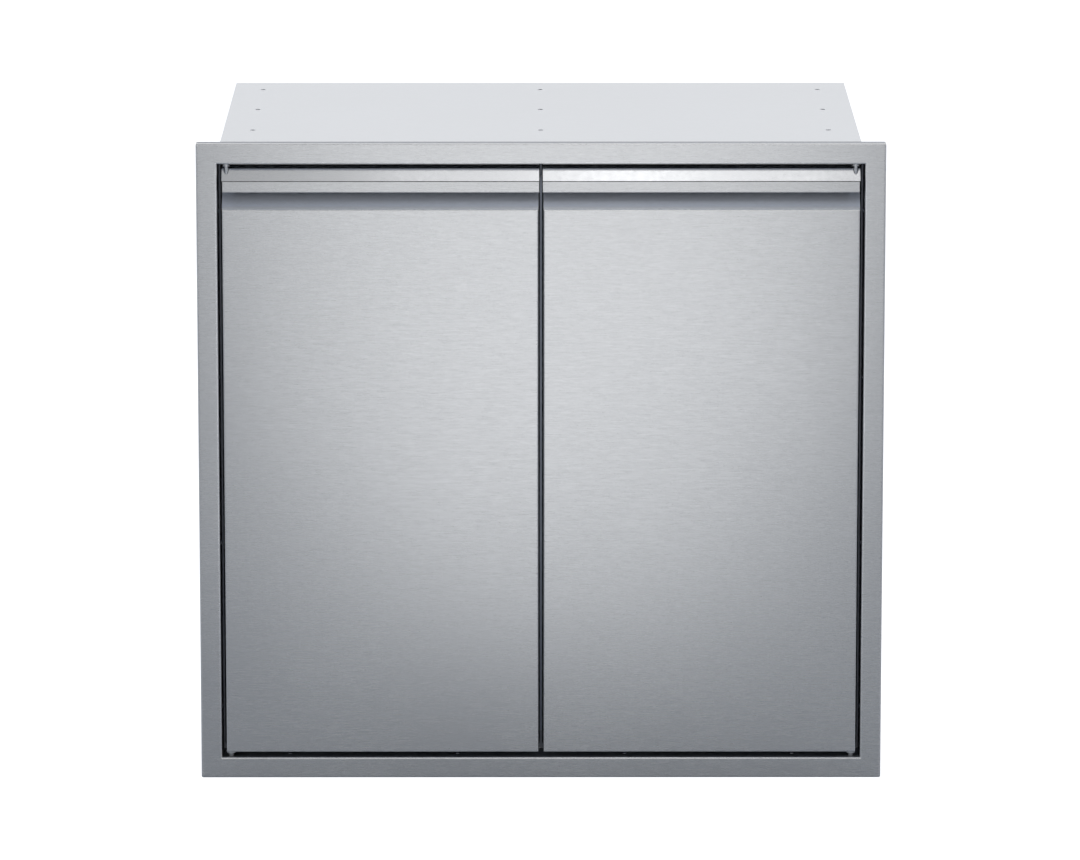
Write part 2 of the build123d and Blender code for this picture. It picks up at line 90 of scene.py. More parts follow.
# %% Making and joining nodes
def new_material(name):
    made = bpy.data.materials.new(name)
    made.use_nodes = True
    made.node_tree.nodes.clear()
    return made, made.node_tree


def add(tree, kind, **settings):
    made = tree.nodes.new(kind)
    for key, value in settings.items():
        setattr(made, key, value)
    return made


def feed(tree, socket, source):
    if isinstance(source, bpy.types.NodeSocket):
        tree.links.new(source, socket)
    else:
        socket.default_value = source


def new_surface(name, metallic):
    """A material with one Principled shader on its output."""
    made, tree = new_material(name)
    shader = add(tree, "ShaderNodeBsdfPrincipled")
    shader.inputs["Metallic"].default_value = metallic
    output = add(tree, "ShaderNodeOutputMaterial")
    feed(tree, output.inputs["Surface"], shader.outputs["BSDF"])
    return made, tree, shader


print("materials before the finishes:", len(bpy.data.materials))

# %% [markdown]
# ## Patterns from noise
# Most of what the eye reads as a finish is a small, uneven change of tone, roughness or height. Painted
# pictures could give it, but they need a UV map, which CAD nodes don't have. Noise on Object coordinates
# needs none, and stays on a piece when it moves. Most values of a noise lie between 0.3 and 0.7, so that
# range is what the patterns below stretch out.

# %% Noise, ranges and mixing
NOISE_LOW, NOISE_HIGH = 0.3, 0.7


def noise(tree, stretch, detail=3.0, rough=0.5, distortion=0.0):
    place = add(tree, "ShaderNodeTexCoord")
    scaled = add(tree, "ShaderNodeMapping")
    feed(tree, scaled.inputs["Vector"], place.outputs["Object"])
    scaled.inputs["Scale"].default_value = stretch
    made = add(tree, "ShaderNodeTexNoise")
    feed(tree, made.inputs["Vector"], scaled.outputs["Vector"])
    made.inputs["Scale"].default_value = 1.0
    made.inputs["Detail"].default_value = detail
    made.inputs["Roughness"].default_value = rough
    made.inputs["Distortion"].default_value = distortion
    return made.outputs["Fac"]


def span(tree, source, low, high, start, end):
    """Runs from start to end while the source runs from low to high."""
    made = add(tree, "ShaderNodeMapRange")
    feed(tree, made.inputs["Value"], source)
    for key, value in zip(("From Min", "From Max", "To Min", "To Max"), (low, high, start, end)):
        made.inputs[key].default_value = value
    return made.outputs["Result"]


def swing(tree, source, amount):
    """A noise made to swing round zero, by the amount either way."""
    return span(tree, source, NOISE_LOW, NOISE_HIGH, -amount, amount)


def swing_round(tree, source, base):
    """A small swing round zero, moved so that it swings round the base."""
    return span(tree, source, -0.5, 0.5, base - 0.5, base + 0.5)


def maths(tree, operation, first, second):
    made = add(tree, "ShaderNodeMath", operation=operation)
    feed(tree, made.inputs[0], first)
    feed(tree, made.inputs[1], second)
    return made.outputs["Value"]


def blend_colour(tree, factor, first, second):
    made = add(tree, "ShaderNodeMix", data_type="RGBA")
    feed(tree, made.inputs["Factor"], factor)
    feed(tree, made.inputs[6], first)
    feed(tree, made.inputs[7], second)
    return made.outputs[2]


def shade(colour, level):
    return (colour[0] * level, colour[1] * level, colour[2] * level, 1.0)


def raise_bump(tree, shader, height, normal, strength, distance):
    bump = add(tree, "ShaderNodeBump")
    bump.inputs["Strength"].default_value = strength
    bump.inputs["Distance"].default_value = distance
    feed(tree, bump.inputs["Height"], height)
    feed(tree, bump.inputs["Normal"], normal)
    feed(tree, shader.inputs["Normal"], bump.outputs["Normal"])


print("noise is read between", NOISE_LOW, "and", NOISE_HIGH)

# %% [markdown]
# ## Scuffed and highlit edges
# The edges of folded sheet are painted brighter than its faces, partly as scuffing and partly as painted
# highlight. Cycles has a Bevel node that bends the normal near an edge, so the angle between that normal
# and the true one shows where the edges are. It needs no UV map and works on the loose triangles of a CAD
# mesh. A folded bend is a true round already, so there the normal's own turn away from the front is the
# mask for its painted highlight. All limits are cosines of such angles: a mask grows from the first number
# of its pair to the second.

# %% Edge mask
SHARP_EDGE = (0.999, 0.93)
TURNED_FROM_FRONT = (0.999, 0.97)
NOT_YET_A_SIDE = (0.78, 0.88)
BEVEL_SAMPLES = 4


def worn_edge_highlight(tree, radius, bends=False):
    """Gives a mask of the edges, which are painted brighter as scuffing and painted highlight, and the
    softened normal.
    """
    soft = add(tree, "ShaderNodeBevel", samples=BEVEL_SAMPLES)
    soft.inputs["Radius"].default_value = radius
    true = add(tree, "ShaderNodeNewGeometry")
    dot = add(tree, "ShaderNodeVectorMath", operation="DOT_PRODUCT")
    feed(tree, dot.inputs[0], soft.outputs["Normal"])
    feed(tree, dot.inputs[1], true.outputs["True Normal"])
    sharp = span(tree, dot.outputs["Value"], *SHARP_EDGE, 0.0, 1.0)
    if not bends:
        return sharp, soft.outputs["Normal"]
    own = add(tree, "ShaderNodeVectorTransform", vector_type="NORMAL",
              convert_from="WORLD", convert_to="OBJECT")
    feed(tree, own.inputs["Vector"], true.outputs["Normal"])
    facing = add(tree, "ShaderNodeSeparateXYZ")
    feed(tree, facing.inputs["Vector"], own.outputs["Vector"])
    forward = maths(tree, "MULTIPLY", facing.outputs["Y"], -1.0)
    turned_away = span(tree, forward, *TURNED_FROM_FRONT, 0.0, 1.0)
    still_front = span(tree, forward, *NOT_YET_A_SIDE, 0.0, 1.0)
    bend = maths(tree, "MULTIPLY", turned_away, still_front)
    return maths(tree, "MAXIMUM", sharp, bend), soft.outputs["Normal"]


full_edge = round(math.degrees(math.acos(SHARP_EDGE[1])), 1)
print("an edge counts in full where the normal is bent by", full_edge, "degrees")

# %% [markdown]
# ## Brushed stainless steel
# A belt leaves thousands of fine lines, and from a step away they read as short, slightly wavy streaks
# that differ by a few percent in tone. Two noises stretched along the belt's direction make them: long
# hairlines for roughness and bump, and shorter wavy streaks for tone. A third, large and faint, stands for
# the unevenness of rolled sheet. Each scale is how often the noise repeats in a metre, along the belt and
# across it.
#
# The belt only reaches the front of the frame and doors. Behind them the sheet is left rougher, and the
# material paints a cool tint on it as the shade colour of the recess, and a darker tone with the depth as
# painted shade in the gaps. The lip's sheet gets painted shade above a height instead, where it runs up
# behind the strip.

# %% Brushed steel
STREAKS = (150, 430)
HAIRS = (60, 1800)
CLOUDS = (3.0, 3.0, 3.0)
CLOUD_TONE, CLOUD_ROUGH, HAIR_ROUGH = 0.02, 0.015, 0.03
# Edges and bends are painted brighter by this much: scuffing and painted highlight.
RUBBED_HIGHLIT_SHEET = 1.32
# A cool tint painted on behind the front, as the shade colour of the recess.
COOL_SHADE_TINT = (1.04, 1.10, 1.22)
# Ramp of the painted shade that darkens the sheet deep in the gaps.
DEEP_SHADE_RAMP = 4 * MM
MILL_ROUGHER = 0.20
BELT_FADES = (cad_low.y + 1.5 * MM, cad_low.y + 4 * MM)
# Tone and ramp of the painted shade where the lip runs up behind the strip.
JOINT_SHADE_TONE, JOINT_SHADE_RAMP = 0.1, 0.05 * MM
SHEET_EDGE = 0.8 * MM
HIGHLIT_BENDS_FROM = 0.5


def grain_stretch(along, across, direction):
    return [along if axis == direction else across for axis in "XYZ"]


def brushed_steel(name, colour, roughness, direction="X", streak=0.03, anisotropy=0.6, rubbed_and_highlit=0.9,
                  shade_from=None, shade_tone=0.24, shade_above=None):
    """Painted shade darkens the sheet from a given depth back, and from a given height up."""
    made, tree, shader = new_surface(name, metallic=1.0)
    streaks = noise(tree, grain_stretch(*STREAKS, direction), detail=2.0, distortion=0.8)
    hairs = noise(tree, grain_stretch(*HAIRS, direction), detail=2.0, rough=0.6)
    cloud = noise(tree, CLOUDS, detail=2.0)
    tone = maths(tree, "ADD", swing(tree, streaks, streak), swing(tree, cloud, CLOUD_TONE))
    tone = swing_round(tree, tone, 1.0)
    rough = maths(tree, "ADD", swing(tree, hairs, HAIR_ROUGH), swing(tree, cloud, CLOUD_ROUGH))
    plain = add(tree, "ShaderNodeVectorMath", operation="SCALE")
    plain.inputs[0].default_value = colour
    place = add(tree, "ShaderNodeTexCoord")
    position = add(tree, "ShaderNodeSeparateXYZ")
    feed(tree, position.inputs["Vector"], place.outputs["Object"])
    # Painted shade: the lip's sheet is darkened above a height, behind the strip.
    if shade_above is not None:
        joint_shade = span(tree, position.outputs["Z"], shade_above, shade_above + JOINT_SHADE_RAMP, 1.0, JOINT_SHADE_TONE)
        tone = maths(tree, "MULTIPLY", tone, joint_shade)
    # Painted shade: the sheet is darkened from a depth back, where it lies deep in the gaps.
    if shade_from is not None:
        deep_shade = span(tree, position.outputs["Y"], shade_from, shade_from + DEEP_SHADE_RAMP, 1.0, shade_tone)
        tone = maths(tree, "MULTIPLY", tone, deep_shade)
        # Behind the front the sheet is rougher, and a cool tint is painted on as the recess's shade
        # colour.
        unbrushed_and_shade_tint = span(tree, position.outputs["Y"], *BELT_FADES, 0.0, 1.0)
        rough = maths(tree, "ADD", rough, maths(tree, "MULTIPLY", unbrushed_and_shade_tint, MILL_ROUGHER))
        cool = [level * change for level, change in zip(colour, COOL_SHADE_TINT)]
        feed(tree, plain.inputs[0], blend_colour(tree, unbrushed_and_shade_tint, (*colour, 1.0), (*cool, 1.0)))
    feed(tree, plain.inputs["Scale"], tone)
    # Edges and bends painted brighter, partly as scuffing and partly as painted highlight.
    wear_and_highlight, normal = worn_edge_highlight(tree, SHEET_EDGE, bends=rubbed_and_highlit > HIGHLIT_BENDS_FROM)
    wear_and_highlight = maths(tree, "MULTIPLY", wear_and_highlight, rubbed_and_highlit)
    worn_and_highlit = blend_colour(tree, wear_and_highlight, plain.outputs["Vector"], shade(colour, RUBBED_HIGHLIT_SHEET))
    feed(tree, shader.inputs["Base Color"], worn_and_highlit)
    feed(tree, shader.inputs["Roughness"], swing_round(tree, rough, roughness))
    lines = maths(tree, "ADD", hairs, streaks)
    raise_bump(tree, shader, lines, normal, strength=0.08, distance=0.1 * MM)
    spread_glints(tree, shader, direction, anisotropy)
    return made


def spread_glints(tree, shader, direction, anisotropy):
    """Brushed lines spread a reflection across themselves, so the tangent lies across the grain."""
    across = add(tree, "ShaderNodeVectorTransform", vector_type="VECTOR",
                 convert_from="OBJECT", convert_to="WORLD")
    across.inputs["Vector"].default_value = (1.0, 0.0, 0.0) if direction == "Z" else (0.0, 0.0, 1.0)
    feed(tree, shader.inputs["Tangent"], across.outputs["Vector"])
    shader.inputs["Anisotropic"].default_value = anisotropy


print("the belt's work fades between the depths", [round(depth, 4) for depth in BELT_FADES], "m")

# %% The sheet finishes
STEEL = (0.716, 0.717, 0.719)
BELTED = {"roughness": 0.26, "anisotropy": 0.85}
strip_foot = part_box("left_trim_strip")[0].z
# The frame, door and post sheets get painted shade in their gaps, and the lip painted shade behind the
# strip.
finishes = {
    "front_sheet": brushed_steel("front_sheet", STEEL, **BELTED, shade_from=cad_low.y + 26 * MM),
    "frame_sheet": brushed_steel("frame_sheet", STEEL, **BELTED, shade_from=cad_low.y + 2.5 * MM,
                                 shade_tone=0.35),
    "lip_sheet": brushed_steel("lip_sheet", shade(STEEL, 0.93)[:3], **BELTED, rubbed_and_highlit=0.15,
                               shade_above=strip_foot - 0.8 * MM),
    "post_sheet": brushed_steel("post_sheet", STEEL, 0.20, direction="Z",
                                shade_from=cad_low.y + 26 * MM, shade_tone=0.62),
    "box_sheet": brushed_steel("box_sheet", (0.70, 0.71, 0.725), 0.36, streak=0.045, anisotropy=0.3),
    "box_flat_sheet": brushed_steel("box_flat_sheet", (0.705, 0.725, 0.760), 0.38, streak=0.012,
                                    anisotropy=0.0),
}
print("sheet finishes:", ", ".join(sorted(finishes)))

# %% [markdown]
# ## Polished strip, fittings and zinc
# The strip along each finger pull is polished almost to a mirror, with only the faint cloudiness that a
# buffing wheel leaves. Turned fittings are bright and cast zinc is dull, but both have the same kind of
# surface: a fine even texture and a soft cloudiness. So one function makes all of them, and roughness,
# grain and the depth of the clouds tell them apart.

# %% Smooth metals
METAL_CLOUDS = (18.0, 18.0, 18.0)
# Edges painted brighter: scuffing and painted highlight.
METAL_WEAR_AND_HIGHLIGHT, RUBBED_HIGHLIT_METAL = 0.5, 1.2
FINE_LOW, FINE_HIGH = 0.25, 0.75
SMOOTHEST, ROUGHEST = 0.8, 1.2
SMALL_EDGE = 0.3 * MM


def smooth_metal(name, colour, roughness, grain=400, tone=0.04):
    made, tree, shader = new_surface(name, metallic=1.0)
    fine = noise(tree, (grain, grain, grain), rough=0.6)
    cloud = span(tree, noise(tree, METAL_CLOUDS), NOISE_LOW, NOISE_HIGH, 0.0, 1.0)
    plain = blend_colour(tree, cloud, shade(colour, 1 - tone), shade(colour, 1 + tone))
    wear_and_highlight, normal = worn_edge_highlight(tree, SMALL_EDGE)
    wear_and_highlight = maths(tree, "MULTIPLY", wear_and_highlight, METAL_WEAR_AND_HIGHLIGHT)
    feed(tree, shader.inputs["Base Color"], blend_colour(tree, wear_and_highlight, plain, shade(colour, RUBBED_HIGHLIT_METAL)))
    rough = span(tree, fine, FINE_LOW, FINE_HIGH, roughness * SMOOTHEST, roughness * ROUGHEST)
    feed(tree, shader.inputs["Roughness"], rough)
    raise_bump(tree, shader, fine, normal, strength=0.05, distance=0.05 * MM)
    return made


smooth_finishes = {
    "polished_strip": smooth_metal("polished_strip", (0.86, 0.865, 0.875), 0.18, grain=150, tone=0.01),
    "fittings": smooth_metal("fittings", (0.70, 0.705, 0.715), 0.20),
    "spring_wire": smooth_metal("spring_wire", (0.50, 0.51, 0.53), 0.28, grain=1500),
    "magnet_plate": smooth_metal("magnet_plate", (0.38, 0.38, 0.39), 0.30, grain=900, tone=0.10),
    "zinc_block": smooth_metal("zinc_block", (0.30, 0.305, 0.315), 0.42, grain=900, tone=0.08),
}
finishes.update(smooth_finishes)
print("smooth metals:", ", ".join(sorted(smooth_finishes)))

# %% [markdown]
# ## Rubber, nylon and catch plastic
# Rubber has a dull skin with dust in it, and moulded plastic has the very fine texture that a
# spark-eroded mould leaves. Both are a dark and a light tone mixed by a noise that stands for dust, with a
# much finer noise for roughness and bump. Rubber also gets a little sheen, set on the shader itself.

# %% Moulded finishes
DUST = (90.0, 90.0, 90.0)
DUST_LOW, DUST_HIGH = 0.35, 0.75
# Edges painted brighter: scuffing and painted highlight.
MOULDING_WEAR_AND_HIGHLIGHT, RUBBED_HIGHLIT_MOULDING = 0.4, 1.3
MOULDING_ROUGH = 0.08


def moulded(name, dark, light, roughness, grain, sheen=0.0):
    made, tree, shader = new_surface(name, metallic=0.0)
    fine = noise(tree, (grain, grain, grain), detail=4.0, rough=0.6)
    dust = span(tree, noise(tree, DUST, detail=4.0, rough=0.65), DUST_LOW, DUST_HIGH, 0.0, 1.0)
    plain = blend_colour(tree, dust, (*dark, 1.0), (*light, 1.0))
    wear_and_highlight, normal = worn_edge_highlight(tree, SMALL_EDGE)
    wear_and_highlight = maths(tree, "MULTIPLY", wear_and_highlight, MOULDING_WEAR_AND_HIGHLIGHT)
    feed(tree, shader.inputs["Base Color"], blend_colour(tree, wear_and_highlight, plain, shade(light, RUBBED_HIGHLIT_MOULDING)))
    rough = span(tree, fine, NOISE_LOW, NOISE_HIGH, roughness - MOULDING_ROUGH, roughness + MOULDING_ROUGH)
    feed(tree, shader.inputs["Roughness"], rough)
    raise_bump(tree, shader, fine, normal, strength=0.2, distance=0.08 * MM)
    shader.inputs["Sheen Weight"].default_value = sheen
    return made


moulded_finishes = {
    "seal_rubber": moulded("seal_rubber", (0.012, 0.012, 0.013), (0.03, 0.03, 0.031), 0.62, 2200.0,
                           sheen=0.15),
    "pale_nylon": moulded("pale_nylon", (0.80, 0.80, 0.78), (0.87, 0.87, 0.85), 0.38, 1500.0),
    "catch_plastic": moulded("catch_plastic", (0.018, 0.018, 0.019), (0.035, 0.035, 0.037), 0.50, 2600.0),
}
finishes.update(moulded_finishes)
print("moulded finishes:", ", ".join(sorted(moulded_finishes)))

# %% [markdown]
# ## Finishes for the CAD nodes
# A CAD node keeps its mesh. Only its material slots are filled, so its shape and place stay exactly as
# packed. The left and the right piece of a pair share one finish, so the table below leaves the side out
# of their names. Whatever isn't in the table is a bright fitting.

# %% Dress the CAD nodes
node_finish = {
    "face_frame": "frame_sheet",
    "door_skin": "front_sheet",
    "pull_lip": "lip_sheet",
    "trim_strip": "polished_strip",
    "centre_mullion": "post_sheet",
    "box_top": "box_flat_sheet",
    "box_bottom": "box_flat_sheet",
    "box_back": "box_sheet",
    "box_side": "box_sheet",
    "door_liner": "box_sheet",
    "door_stiffener": "box_sheet",
    "shelf": "box_flat_sheet",
    "front_pilaster": "box_sheet",
    "rear_pilaster": "box_sheet",
    "rear_centre_pilaster": "box_sheet",
    "gasket": "seal_rubber",
    "lower_bushing": "pale_nylon",
    "upper_pivot_block": "zinc_block",
    "lower_pivot_block": "zinc_block",
    "catch_housing": "catch_plastic",
    "catch_magnet": "magnet_plate",
    "pin_spring": "spring_wire",
}


def plain_name(node_name):
    return node_name.removeprefix("left_").removeprefix("right_")


for node_name, node_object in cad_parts.items():
    finish = node_finish.get(plain_name(node_name), "fittings")
    node_object.data.materials.clear()
    node_object.data.materials.append(finishes[finish])
print("dressed nodes:", len(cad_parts))

# %% [markdown]
# ## Selecting and finishing a piece
# An operator acts on all that is selected, so each step starts by clearing the selection. A finished piece
# lies at the origin with its place in its mesh, as a CAD node does, so it is moved by its mesh and never
# as an object. Faces that meet at less than a few tens of degrees are shaded as one curve, and sharper
# edges stay crisp.

# %% Piece helpers
HARD_PART, SOFT_PART, ROUND_WIRE = 35, 40, 50


def clean_start():
    if bpy.context.object and bpy.context.object.mode != "OBJECT":
        bpy.ops.object.mode_set(mode="OBJECT")
    bpy.ops.object.select_all(action="DESELECT")


def select_only(piece):
    clean_start()
    piece.select_set(True)
    bpy.context.view_layer.objects.active = piece


def smooth(piece, angle):
    select_only(piece)
    bpy.ops.object.shade_smooth_by_angle(angle=math.radians(angle))


def dress(piece, finish, body, nodes):
    piece.data.materials.clear()
    piece.data.materials.append(finishes[finish])
    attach(piece, body)
    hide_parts(*nodes)


clean_start()
print("selected now:", len(bpy.context.selected_objects))

# %% [markdown]
# ## Walking an outline
# Turned parts and seals can be made in one way: start with a flat outline, extrude it a little, scale the
# new outline, and go on. A circle gives turned parts and a rectangle gives a seal. The same two operators
# do both, so one helper walks a list of steps. With no window, the scaling is given its centre.

# %% Outline helpers
ORIGIN = (0.0, 0.0, 0.0)
SAME_POINT = 0.001 * MM


def walk_outline(start, steps):
    """The selected outline lies in the XY plane. Each step is (size in X, size in Y, height)."""
    width, depth, height = start
    for new_width, new_depth, new_height in steps:
        bpy.ops.mesh.extrude_region_move(TRANSFORM_OT_translate={"value": (0, 0, new_height - height)})
        growth = (new_width / width, new_depth / depth, 1.0)
        bpy.ops.transform.resize(value=growth, center_override=ORIGIN)
        width, depth, height = new_width, new_depth, new_height


def turned(name, profile, facets):
    """Turns a profile of (radius, height) about Z. Its first and last circles are filled."""
    clean_start()
    radius, height = profile[0]
    bpy.ops.mesh.primitive_circle_add(vertices=facets, radius=radius, fill_type="NGON",
                                      location=(0, 0, height))
    piece = bpy.context.object
    piece.name = name
    bpy.ops.object.transform_apply(location=True, rotation=True, scale=True)
    bpy.ops.object.mode_set(mode="EDIT")
    bpy.ops.mesh.select_all(action="SELECT")
    walk_outline((radius, radius, height), [(r, r, z) for r, z in profile[1:]])
    bpy.ops.mesh.select_all(action="SELECT")
    bpy.ops.mesh.remove_doubles(threshold=SAME_POINT)
    bpy.ops.mesh.normals_make_consistent(inside=False)
    bpy.ops.object.mode_set(mode="OBJECT")
    return piece


print("points closer than", SAME_POINT, "m count as one")

# %% [markdown]
# ## Door seals
# Behind each door a rubber bulb seal runs round the opening. It has a flat foot on the steel stop and a
# round bulb that the door presses. It could be a curve with a bevel shape, but its corners would pinch. So
# a rectangle with rounded corners is walked along the seal's section: up the outer side of the foot, over
# the bulb and down the inner side, back to where it began.

# %% The seal's section
seal_width = 10 * MM
seal_foot = 1.4 * MM
seal_foot_edge = 0.7 * seal_foot
seal_slope_share, seal_bulb_share = 0.1, 0.30
bulb_points = 14
bulb_start, bulb_sweep = 215, 250


def seal_section(width, height):
    """Points of (distance from the outer edge, height), once round the section."""
    bulb = width * seal_bulb_share
    top = height - bulb
    slope = width * seal_slope_share
    points = [(0.0, 0.0), (0.0, seal_foot_edge), (slope, seal_foot)]
    for number in range(bulb_points + 1):
        turn = math.radians(bulb_start - bulb_sweep * number / bulb_points)
        points.append((width / 2 + bulb * math.cos(turn), top + bulb * math.sin(turn)))
    return points + [(width - slope, seal_foot), (width, seal_foot_edge), (width, 0.0), (0.0, 0.0)]


print("a seal's section has", len(seal_section(seal_width, seal_width)), "points")

# %% Bulb seals
seal_corner, seal_corner_steps = 6 * MM, 5
seal_slack = 0.05 * MM


def bulb_seal(side):
    low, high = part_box(f"{side}_gasket")
    centre = (low + high) / 2
    half_x = (high.x - low.x) / 2
    half_z = (high.z - low.z) / 2
    clean_start()
    bpy.ops.mesh.primitive_plane_add(size=2.0)
    piece = bpy.context.object
    piece.name = f"{side}_bulb_seal"
    piece.scale = (half_x, half_z, 1.0)
    bpy.ops.object.transform_apply(location=True, rotation=True, scale=True)
    bpy.ops.object.mode_set(mode="EDIT")
    bpy.ops.mesh.select_all(action="SELECT")
    bpy.ops.mesh.bevel(offset=seal_corner, segments=seal_corner_steps, affect="VERTICES")
    bpy.ops.mesh.select_all(action="SELECT")
    bpy.ops.mesh.delete(type="ONLY_FACE")
    bpy.ops.mesh.select_all(action="SELECT")
    section = seal_section(seal_width, high.y - low.y - seal_slack)
    steps = [(half_x - inset, half_z - inset, rise) for inset, rise in section]
    walk_outline(steps[0], steps[1:])
    bpy.ops.mesh.select_all(action="SELECT")
    bpy.ops.mesh.remove_doubles(threshold=10 * SAME_POINT)
    bpy.ops.mesh.normals_make_consistent(inside=False)
    bpy.ops.object.mode_set(mode="OBJECT")
    smooth(piece, SOFT_PART)
    stand = Matrix.Translation((centre.x, high.y, centre.z)) @ Matrix.Rotation(math.radians(90), 4, "X")
    piece.data.transform(stand)
    dress(piece, "seal_rubber", "cabinet", [f"{side}_gasket"])
    return piece


for side in sides:
    seal = bulb_seal(side)
    print(seal.name, len(seal.data.polygons), "faces")

# %% [markdown]
# ## Winding a wire
# A spring and a screw's thread are both a wire wound round an axis. A circle of few or many sides is stood
# on edge beside the axis and wound with a Screw modifier, and its ends are closed. A curve could do it
# too, but the modifier gives the turns and the pitch as plain numbers.

# %% Wound wire
def wound(name, wire, wire_facets, radius, turns, rise, steps):
    """A wire wound round Z, from height zero, with closed ends."""
    clean_start()
    bpy.ops.mesh.primitive_circle_add(vertices=wire_facets, radius=wire, fill_type="NOTHING")
    piece = bpy.context.object
    piece.name = name
    bpy.ops.object.transform_apply(location=True, rotation=True, scale=True)
    on_edge = Matrix.Rotation(math.radians(90), 4, "X")
    piece.data.transform(Matrix.Translation((radius, 0, 0)) @ on_edge)
    coil = piece.modifiers.new("winding", "SCREW")
    coil.iterations = turns
    coil.screw_offset = rise
    coil.steps = coil.render_steps = steps
    coil.use_merge_vertices = False
    bpy.ops.object.modifier_apply(modifier=coil.name)
    bpy.ops.object.mode_set(mode="EDIT")
    bpy.ops.mesh.select_all(action="DESELECT")
    bpy.ops.mesh.select_non_manifold(extend=False)
    bpy.ops.mesh.fill_holes(sides=wire_facets)
    bpy.ops.mesh.select_all(action="SELECT")
    bpy.ops.mesh.normals_make_consistent(inside=False)
    bpy.ops.object.mode_set(mode="OBJECT")
    smooth(piece, ROUND_WIRE)
    return piece


# %% [markdown]
# ## Pin springs
# Each upper pivot pin is pushed up by a small coil spring inside its block.

# %% Coil springs
spring_turns = 6
spring_wire_radius = 0.29 * MM
spring_wire_facets = 10
spring_steps_per_turn = 28


def coil_spring(side):
    low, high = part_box(f"{side}_pin_spring")
    centre = (low + high) / 2
    wire = spring_wire_radius
    radius = (high.x - low.x) / 2 - wire
    rise = (high.z - low.z - 2 * wire) / spring_turns
    piece = wound(f"{side}_coil_spring", wire, spring_wire_facets, radius, spring_turns, rise,
                  spring_steps_per_turn)
    piece.data.transform(Matrix.Translation((centre.x, centre.y, low.z + wire)))
    dress(piece, "spring_wire", f"{side}_door", [f"{side}_pin_spring"])
    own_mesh(piece)
    return piece


for side in sides:
    spring = coil_spring(side)
    print(spring.name, len(spring.data.polygons), "faces")

# %% [markdown]
# ## Places of rivets and screws
# A group of rivets or screws is one CAD node with many separate solids. Each solid's corners say where a
# fastener sits and how long it is. They are found by walking from vertex to vertex along the edges, on a
# merged copy of the mesh, because a CAD mesh is loose triangles. One fastener is modelled for each group,
# and each place gets a copy with its own mesh.

# %% Separate solids of a node
def corners(points):
    low = Vector([min(point[axis] for point in points) for axis in range(3)])
    high = Vector([max(point[axis] for point in points) for axis in range(3)])
    return low, high


def islands(node_name):
    """The separate solids of a CAD node, each as its lowest and highest corner."""
    shape = bmesh.new()
    shape.from_mesh(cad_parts[node_name].data)
    bmesh.ops.remove_doubles(shape, verts=shape.verts, dist=SAME_POINT)
    found = []
    seen = set()
    for first in shape.verts:
        if first.index in seen:
            continue
        seen.add(first.index)
        waiting = [first]
        group = []
        while waiting:
            vertex = waiting.pop()
            group.append(vertex.co.copy())
            for edge in vertex.link_edges:
                other = edge.other_vert(vertex)
                if other.index not in seen:
                    seen.add(other.index)
                    waiting.append(other)
        found.append(corners(group))
    shape.free()
    return found


for node_name in ("frame_rivets", "mullion_rivets", "back_rivets", "left_door_screws"):
    print(node_name, len(islands(node_name)), "solids")

# %% Copies in their places
FRONT = Vector((0, -1, 0))


def place_copy(piece, name, matrix):
    made = piece.copy()
    made.data = piece.data.copy()
    made.name = name
    made.data.transform(matrix)
    scene.collection.objects.link(made)
    return made


def forget(piece):
    bpy.data.objects.remove(piece)


def head_axis(heads, low, high):
    """Where a head points: one direction for all, or a function that finds it from a solid's corners."""
    return heads(low, high) if callable(heads) else heads


def length_along(heads, low, high):
    return abs((high - low).dot(head_axis(heads, low, high)))


def spread_copies(model, node_name, head, heads, body, joined_name):
    """Puts a copy of the model into every solid of a CAD group, turned to its head, and joins them."""
    copies = []
    for number, (low, high) in enumerate(islands(node_name)):
        axis = head_axis(heads, low, high)
        top = (low + high) / 2 + axis * length_along(heads, low, high) / 2
        turn = (-axis).to_track_quat("Z", "Y").to_matrix().to_4x4()
        matrix = Matrix.Translation(top) @ turn @ Matrix.Translation((0, 0, head))
        copies.append(place_copy(model, f"{node_name}_{number + 1:02d}", matrix))
    clean_start()
    for piece in copies:
        piece.select_set(True)
    bpy.context.view_layer.objects.active = copies[0]
    bpy.ops.object.join()
    joined = bpy.context.object
    joined.name = joined_name
    dress(joined, "fittings", body, [node_name])
    print(joined.name, len(joined.data.polygons), "faces")


post_rivet = islands("mullion_rivets")[0]
print("a rivet of the post is", round(length_along(FRONT, *post_rivet) / MM, 2), "mm long")

# %% [markdown]
# ## Rivets
# Blind rivets hold the frame's returns, the post and the back panel. The head is a shallow dome with the
# broken end of its mandrel in a dimple. A halved ball with a hole would look too tall, so the outline is
# turned point by point, from the dimple outwards. The groups hold sheets of different thickness, so their
# rivets differ in length.

# %% One blind rivet
# Shares of the shank's radius and the head's height, then of the head's radius and height.
dimple = ((0.42, 0.55), (0.5, 0.5), (0.55, 0.98))
dome = ((0.42, 1.0), (0.66, 0.9), (0.86, 0.66), (0.97, 0.32), (1.0, 0.0))
tail_end = 0.5
rivet_facets = 28


def turned_rivet(name, head_radius, head, shank_radius, grip, tail_radius, tail):
    profile = [(shank_radius * out, -head * up) for out, up in dimple]
    profile += [(head_radius * out, -head * up) for out, up in dome]
    profile += [(shank_radius, 0.0), (shank_radius, grip), (tail_radius, grip + tail)]
    profile += [(tail_radius * tail_end, grip + tail)]
    piece = turned(name, profile, rivet_facets)
    smooth(piece, HARD_PART)
    return piece


print("the dimple has", len(dimple), "points and the dome", len(dome))

# %% Rivets in their places
rivet_head, rivet_tail = 1.2 * MM, 1.2 * MM
rivet_head_radius, rivet_shank_radius = 3.0 * MM, 1.6 * MM
sunk_tail_radius, open_tail_radius = 2.6 * MM, 3.0 * MM
opening_middle = (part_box("face_frame")[0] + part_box("face_frame")[1]) / 2


